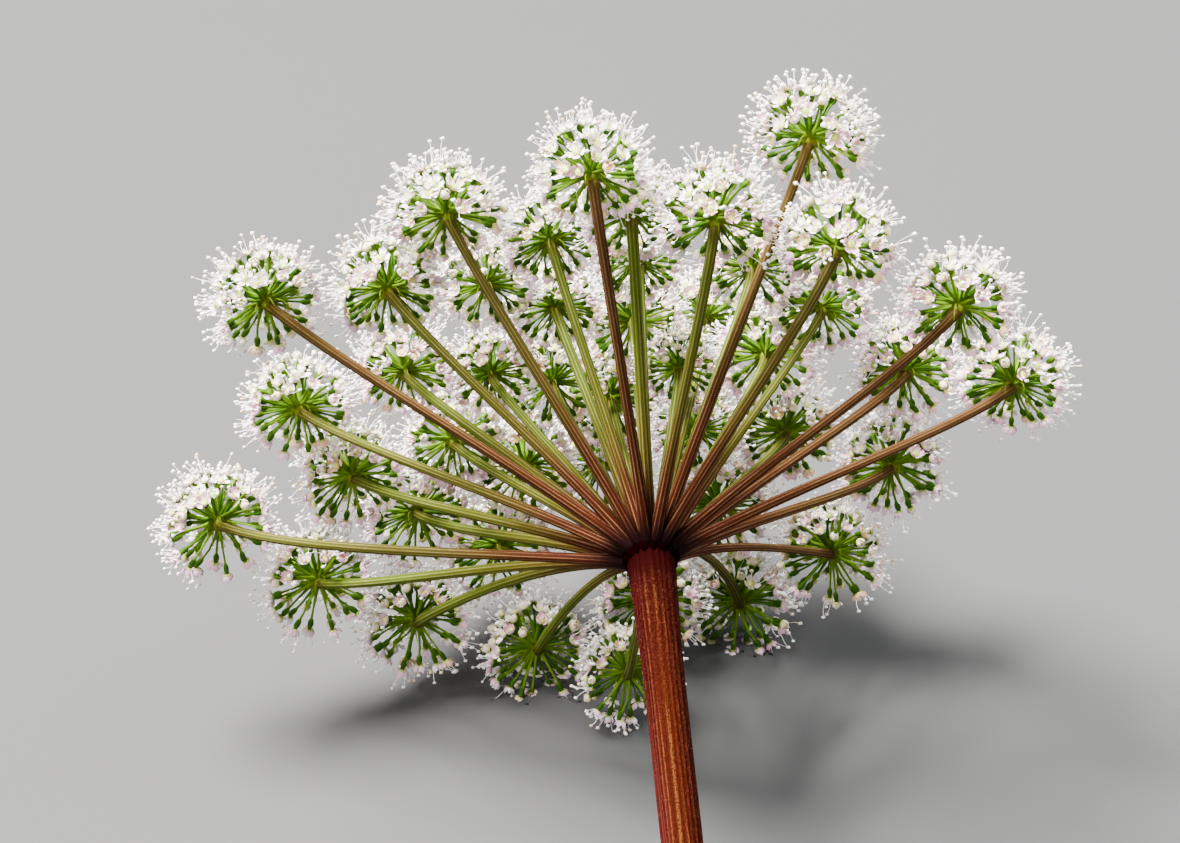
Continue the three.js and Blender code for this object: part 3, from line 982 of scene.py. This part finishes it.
class Bloom(Growth):
    """One umbellet, grown part by part from its knot, with its own axis upwards."""

    def __init__(self, number, knot, facing, size, row):
        super().__init__()
        self.draw = np.random.default_rng(BLOOM_SEED + number)
        self.knot = knot
        self.size = size
        self.row = row
        across, over = crossing(facing)
        roll = self.draw.random() * 2 * np.pi
        side = across * math.cos(roll) + over * math.sin(roll)
        self.home = np.stack([side, np.cross(facing, side), facing])

    def grow(self, points, faces, slot, **paint):
        """Adds copies of a part, given in the umbellet's own frame."""
        self.add(self.knot + self.size * flat(points) @ self.home, faces, slot, **paint)

    def spread_florets(self):
        """Ways from the knot, spread evenly over a ball with a gap round the ray."""
        step = np.arange(FLORETS) + 0.5
        share = step / FLORETS
        self.height = 1 - (1 - LOWEST_FLORET) * (share + RIM_CROWD * (share - share ** 4))
        turn = step * GOLDEN_TURN
        level = np.sqrt(1 - self.height ** 2)
        ways = np.stack([level * np.cos(turn), level * np.sin(turn), self.height], axis=1)
        self.ways = unit(ways + WAY_UNEVEN * self.draw.normal(size=ways.shape))
        hang = HANG * np.interp(-self.row.above, HANG_LEVELS, (0, 1))
        lower = np.clip(self.ways @ self.home @ -up, 0, 1)[:, None, None]
        uneven = REACH_UNEVEN * self.draw.normal(size=(FLORETS, 1, 1))
        self.reach = 1 + uneven + hang * lower
        self.tint = self.draw.random((FLORETS, 1))

    def grow_stalks(self):
        """Stalks, each with its seed case, which painted shade makes darkest on the lowest of
        them.
        """
        across, over = crossing(self.ways)
        shade = np.clip(CASE_SHADE - CASE_SHADE_FALL * self.height, CASE_SHADE_LEAST, 1)
        far = STALK_RINGS[:, 0][None, :, None] * self.reach
        bend = STALK_BEND * self.draw.normal(size=(FLORETS, 1, 1))
        bend = bend * np.sin(np.pi * far / CASE_TOP)
        path = self.ways[:, None] * far + across[:, None] * bend
        flatter = np.cos(4 * np.pi * np.arange(STALK_COLUMNS) / STALK_COLUMNS)
        thick = STALK_RINGS[:, 1][None, :, None] * (1 + STALK_FLATNESS * flatter)
        self.grow(tube(path, across[:, None], over[:, None], thick, STALK_COLUMNS),
                  tube_faces(len(STALK_RINGS), STALK_COLUMNS)[:1], STALK, tint=self.tint,
                  case=shade[:, None] * np.repeat(STALK_RINGS[:, 2], STALK_COLUMNS),
                  out=np.repeat(STALK_RINGS[:, 0] / CASE_TOP, STALK_COLUMNS)[None])

    def grow_knot(self):
        """The knot that joins the stalks to the ray."""
        path = KNOT_RINGS[:, 0][None, :, None] * UPWARDS
        across, over, _ = np.eye(3)[:, None, None]
        lumps = 1 + KNOT_LUMPS * np.cos(6 * np.pi * np.arange(KNOT_COLUMNS) / KNOT_COLUMNS)
        radius = KNOT_RINGS[:, 1][None, :, None] * lumps
        self.grow(tube(path, across, over, radius, KNOT_COLUMNS),
                  tube_faces(len(KNOT_RINGS), KNOT_COLUMNS), STALK,
                  tint=np.full((1, 1), KNOT_TINT),
                  rust=np.repeat(KNOT_RINGS[:, 2], KNOT_COLUMNS)[None])

    def grow_bracts(self):
        """Thread-like bracts that hang from the knot, out at first and then down."""
        turn = self.draw.random() * BRACT_ROLL + 2 * np.pi * np.arange(BRACTS) / BRACTS
        out = np.stack([np.cos(turn), np.sin(turn), 0 * turn], axis=1)[:, None]
        t = np.linspace(0, 1, BRACT_ROWS)[None, :, None]
        drop = BRACT_DROP + BRACT_DROP_UNEVEN * self.draw.random((BRACTS, 1, 1))
        path = out * (BRACT_FOOT + BRACT_REACH * np.sin(2 * t))
        path = path - UPWARDS * (BRACT_START + drop * t ** BRACT_DROP_CURVE)
        across, over = out + 0 * path, np.cross(out, UPWARDS) + 0 * path
        radius = BRACT_RADIUS * (BRACT_TAPER - t) + 0 * path[..., :1]
        self.grow(tube(path, across, over, radius, BRACT_COLUMNS),
                  tube_faces(BRACT_ROWS, BRACT_COLUMNS), STALK,
                  tint=self.draw.random((BRACTS, 1)))

    def open_florets(self):
        """Where each floret sits, the way it looks, and how far it has opened."""
        self.seat = self.ways * CASE_TOP * self.reach[:, 0]
        uneven = LOOK_UNEVEN * self.draw.normal(size=self.ways.shape)
        self.look = unit(self.ways + uneven + LOOK_UP * UPWARDS)
        self.face_x, self.face_y = crossing(self.look)
        state = self.draw.random(FLORETS)
        self.budding = state < self.row.budding
        self.faded = state > 1 - FADED_SHARE
        low = np.clip(OPEN_LOW_BELOW - self.height, 0, 1)
        opened = OPEN_LEAST + OPEN_SPREAD * self.draw.random(FLORETS) - OPEN_LOW_LOSS * low
        self.opened = np.where(self.budding, OPEN_BUD, opened)

    def grow_discs(self):
        """The pale swollen disc in the middle of each floret."""
        rows = len(DISC_RINGS)
        path = self.seat[:, None] + self.look[:, None] * DISC_RINGS[:, :1]
        radius = np.broadcast_to(DISC_RINGS[:, 1][None, :, None], (FLORETS, rows, 1))
        side, ends = tube_faces(rows, DISC_COLUMNS)
        self.grow(tube(path, self.face_x[:, None], self.face_y[:, None], radius, DISC_COLUMNS),
                  [side, ends[1:]], DISC, tint=self.tint)

    def petal_curves(self, turn):
        """How far out and up each step of each petal lies, and its slope there."""
        middles = (PETAL_STEPS[1:] + PETAL_STEPS[:-1]) / 2
        uneven = PETAL_OPEN_UNEVEN * self.draw.normal(size=turn.shape)
        opened = (self.opened[:, None] + uneven)[..., None]
        slope = np.radians(
            (1 - opened) * (SHUT_SLOPE[0] + SHUT_SLOPE[1] * middles)
            + opened * (OPEN_SLOPE[0] + OPEN_SLOPE[1] * middles ** 2)
            + PETAL_SLOPE_UNEVEN * self.draw.normal(size=(FLORETS, PETALS, 1)))
        uneven = PETAL_LENGTH_UNEVEN * self.draw.normal(size=(FLORETS, PETALS, 1))
        gaps = np.diff(PETAL_STEPS) * (PETAL_LENGTH * (1 + uneven))
        foot = np.zeros((FLORETS, PETALS, 1))
        outs = np.concatenate([foot, np.cumsum(np.cos(slope) * gaps, axis=-1)], axis=-1)
        ups = np.concatenate([foot, np.cumsum(np.sin(slope) * gaps, axis=-1)], axis=-1)
        slope = np.concatenate([slope, slope[..., -1:]], axis=-1)
        return PETAL_FOOT_OUT + outs, PETAL_FOOT_UP + ups, slope

    def grow_petals(self):
        """Petals curve out from under the disc, and their tips turn in."""
        turn = 2 * np.pi * (self.draw.random((FLORETS, 1)) + np.arange(PETALS) / PETALS)
        self.petal_turn = turn + PETAL_TURN_UNEVEN * self.draw.normal(size=turn.shape)
        cosine, sine = np.cos(self.petal_turn)[..., None], np.sin(self.petal_turn)[..., None]
        radial = cosine * self.face_x[:, None] + sine * self.face_y[:, None]
        sideways = np.cross(self.look[:, None], radial)
        lift = np.broadcast_to(self.look[:, None], radial.shape)
        outs, ups, slope = self.petal_curves(turn)
        cosine, sine = np.cos(slope)[..., None], np.sin(slope)[..., None]
        tip = np.zeros((len(PETAL_STEPS), len(PETAL_ACROSS)))
        tip[-1] = PETAL_TIP
        sides = PETAL_HALF_WIDTHS[:, None] * PETAL_ACROSS
        cup = PETAL_CUP * PETAL_HALF_WIDTHS[:, None] * PETAL_ACROSS ** 2
        out = outs[..., None] + cosine * tip - sine * cup
        rise = ups[..., None] + sine * tip + cosine * cup
        axes = (..., None, None, slice(None))
        points = (self.seat[:, None, None, None] + radial[axes] * out[..., None]
                  + sideways[axes] * sides[..., None] + lift[axes] * rise[..., None])
        low = np.clip(PINK_LOW_BELOW - self.height, 0, 1)[:, None]
        pink = (self.row.pink * PINK_SHARE + PINK_LOW * low
                + PINK_UNEVEN * self.draw.normal(size=(FLORETS, 1))
                + PINK_PETAL_UNEVEN * self.draw.normal(size=(FLORETS, PETALS)))
        age = np.where(self.faded, AGE_FADED, AGE_FRESH)
        self.grow(points.reshape(FLORETS * PETALS, -1, 3),
                  [sheet_faces(len(PETAL_STEPS), len(PETAL_ACROSS), False)], PETAL,
                  pink=np.clip(pink, 0, 1).reshape(-1, 1),
                  age=np.repeat(age, PETALS)[:, None],
                  bud=np.repeat(self.budding, PETALS)[:, None],
                  vein=np.tile(PETAL_VEIN, len(PETAL_STEPS))[None],
                  out=np.repeat(PETAL_STEPS, len(PETAL_ACROSS))[None])

    def grow_stamens(self):
        """Stamens stand between the petals, long and curved, with an anther at the tip."""
        draw = self.draw
        grown = np.flatnonzero(~self.budding & (draw.random(FLORETS) > NO_STAMENS_SHARE))
        count = len(grown) * PETALS
        uneven = STAMEN_TURN_UNEVEN * draw.normal(size=(len(grown), PETALS))
        turn = (self.petal_turn[grown] + np.pi / PETALS + uneven).reshape(-1, 1)
        owner = np.repeat(grown, PETALS)
        ahead = self.look[owner]
        radial = np.cos(turn) * self.face_x[owner] + np.sin(turn) * self.face_y[owner]
        sideways = np.cross(ahead, radial)
        share = STAMEN_SHORTEST + STAMEN_SPREAD * draw.random((count, 1, 1)) ** STAMEN_CROWD
        tall = STAMEN_LENGTH * share
        lean = STAMEN_LEAN + STAMEN_LEAN_UNEVEN * draw.normal(size=(count, 1, 1))
        curl = STAMEN_CURL * draw.normal(size=(count, 1, 1))
        t = STAMEN_STEPS[None, :, None]
        out = STAMEN_FOOT_OUT + STAMEN_SWING_OUT * lean * t
        out = out - STAMEN_SWING_BACK * lean * t ** 2
        path = (self.seat[owner][:, None] + radial[:, None] * out
                + sideways[:, None] * curl * t ** 2
                + ahead[:, None] * (STAMEN_FOOT_UP + tall * t ** STAMEN_RISE))
        rows = len(STAMEN_STEPS)
        radius = STAMEN_RADIUS * (STAMEN_FOOT_THICK - STAMEN_THINNING * t)
        radius = np.broadcast_to(radius, (count, rows, 1))
        old = draw.random((count, 1))
        self.grow(tube(path, radial[:, None], sideways[:, None], radius, STAMEN_COLUMNS),
                  tube_faces(rows, STAMEN_COLUMNS)[:1], FILAMENT, tint=old)
        kept = np.flatnonzero(draw.random(count) > ANTHER_LOST_SHARE)
        uneven = ANTHER_UNEVEN * draw.normal(size=(count, 1, 1))
        beads = ANTHER_RADIUS * (1 + uneven) * BEAD_CORNERS
        beads = beads * [1, 1, ANTHER_HEIGHT] + path[:, -1][:, None]
        self.grow(beads[kept], BEAD_FACES, ANTHER, tint=old[kept])


def build_umbellet(number, place, row):
    knot, facing, size, _ = place
    bloom = Bloom(number, knot, facing, size, row)
    bloom.spread_florets()
    bloom.grow_stalks()
    bloom.grow_knot()
    bloom.grow_bracts()
    bloom.open_florets()
    bloom.grow_discs()
    bloom.grow_petals()
    bloom.grow_stamens()
    name = f"umbellet_{number:02d}"
    umbellet = bloom.piece(f"{name}_bloom", FINISHES)
    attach(umbellet, "root")
    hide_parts(name)


for number, (place, row) in enumerate(zip(places, UMBELLETS), 1):
    build_umbellet(number, place, row)


# The surface that the umbel lies on is plain and pale, and the light is a studio's: one
# large soft lamp high on the left, weaker ones in front and on the right, and pale walls.
FLOOR_HALF = 4
FLOOR_NEAR = 0.4
FLOOR_COOL = (0.044, 0.045, 0.046, 1)
FLOOR_WARM = (0.048, 0.049, 0.05, 1)
FLOOR_FAR = (0.35, 0.35, 0.35, 1)
# Each lamp: its place right, above and behind the hub as the camera sees them, its width
# in metres, its power in watts and its colour.
LAMPS = {
    "main_lamp": ((-900, 1920, -1140), 1.2, 800, (1, 0.97, 0.93)),
    "front_lamp": ((-1260, 180, -1950), 1.5, 54, (1, 0.98, 0.96)),
    "side_lamp": ((1800, 900, -300), 1.8, 75, (0.96, 0.98, 1)),
}
WALL_COLOUR = (1, 1, 1, 1)
WALL_LIGHT = 0.18


def floor_finish():
    """Matt board, paler with distance, because the lamps' light falls off."""
    material, wire = new_finish("pale_board")
    spot = wire.place()
    cloud = spot.mottle(6, 2)
    distance = wire.node("ShaderNodeVectorMath", {"operation": "LENGTH"}, {0: spot}, 1)
    far = distance.step(FLOOR_NEAR, FLOOR_HALF)
    wire.surface({
        "Base Color": far.mix(cloud.mix(FLOOR_COOL, FLOOR_WARM), FLOOR_FAR),
        "Roughness": 0.8 + cloud * 0.1,
    })
    return material


def lay_floor():
    mesh = bpy.data.meshes.new("board")
    corners = [(-FLOOR_HALF, -FLOOR_HALF, 0), (FLOOR_HALF, -FLOOR_HALF, 0),
               (FLOOR_HALF, FLOOR_HALF, 0), (-FLOOR_HALF, FLOOR_HALF, 0)]
    mesh.from_pydata(corners, [], [(0, 1, 2, 3)])
    mesh.materials.append(floor_finish())
    board = bpy.data.objects.new("board", mesh)
    bpy.context.scene.collection.objects.link(board)


def hang_lamp(name, place, width, power, colour):
    """A round soft lamp that looks at the hub."""
    light = bpy.data.lights.new(name, "AREA")
    light.shape = "DISK"
    light.size = width
    light.energy = power
    light.color = colour
    lamp = bpy.data.objects.new(name, light)
    lamp.location = Vector((HUB + place) * MM)
    lamp.rotation_euler = Vector(place).to_track_quat("Z", "Y").to_euler()
    bpy.context.scene.collection.objects.link(lamp)


def light_studio():
    for name, (place, width, power, colour) in LAMPS.items():
        hang_lamp(name, in_view(*place), width, power, colour)
    world = bpy.data.worlds.new("pale_walls")
    world.use_nodes = True
    walls = world.node_tree.nodes["Background"]
    walls.inputs["Color"].default_value = WALL_COLOUR
    walls.inputs["Strength"].default_value = WALL_LIGHT
    bpy.context.scene.world = world


lay_floor()
light_studio()
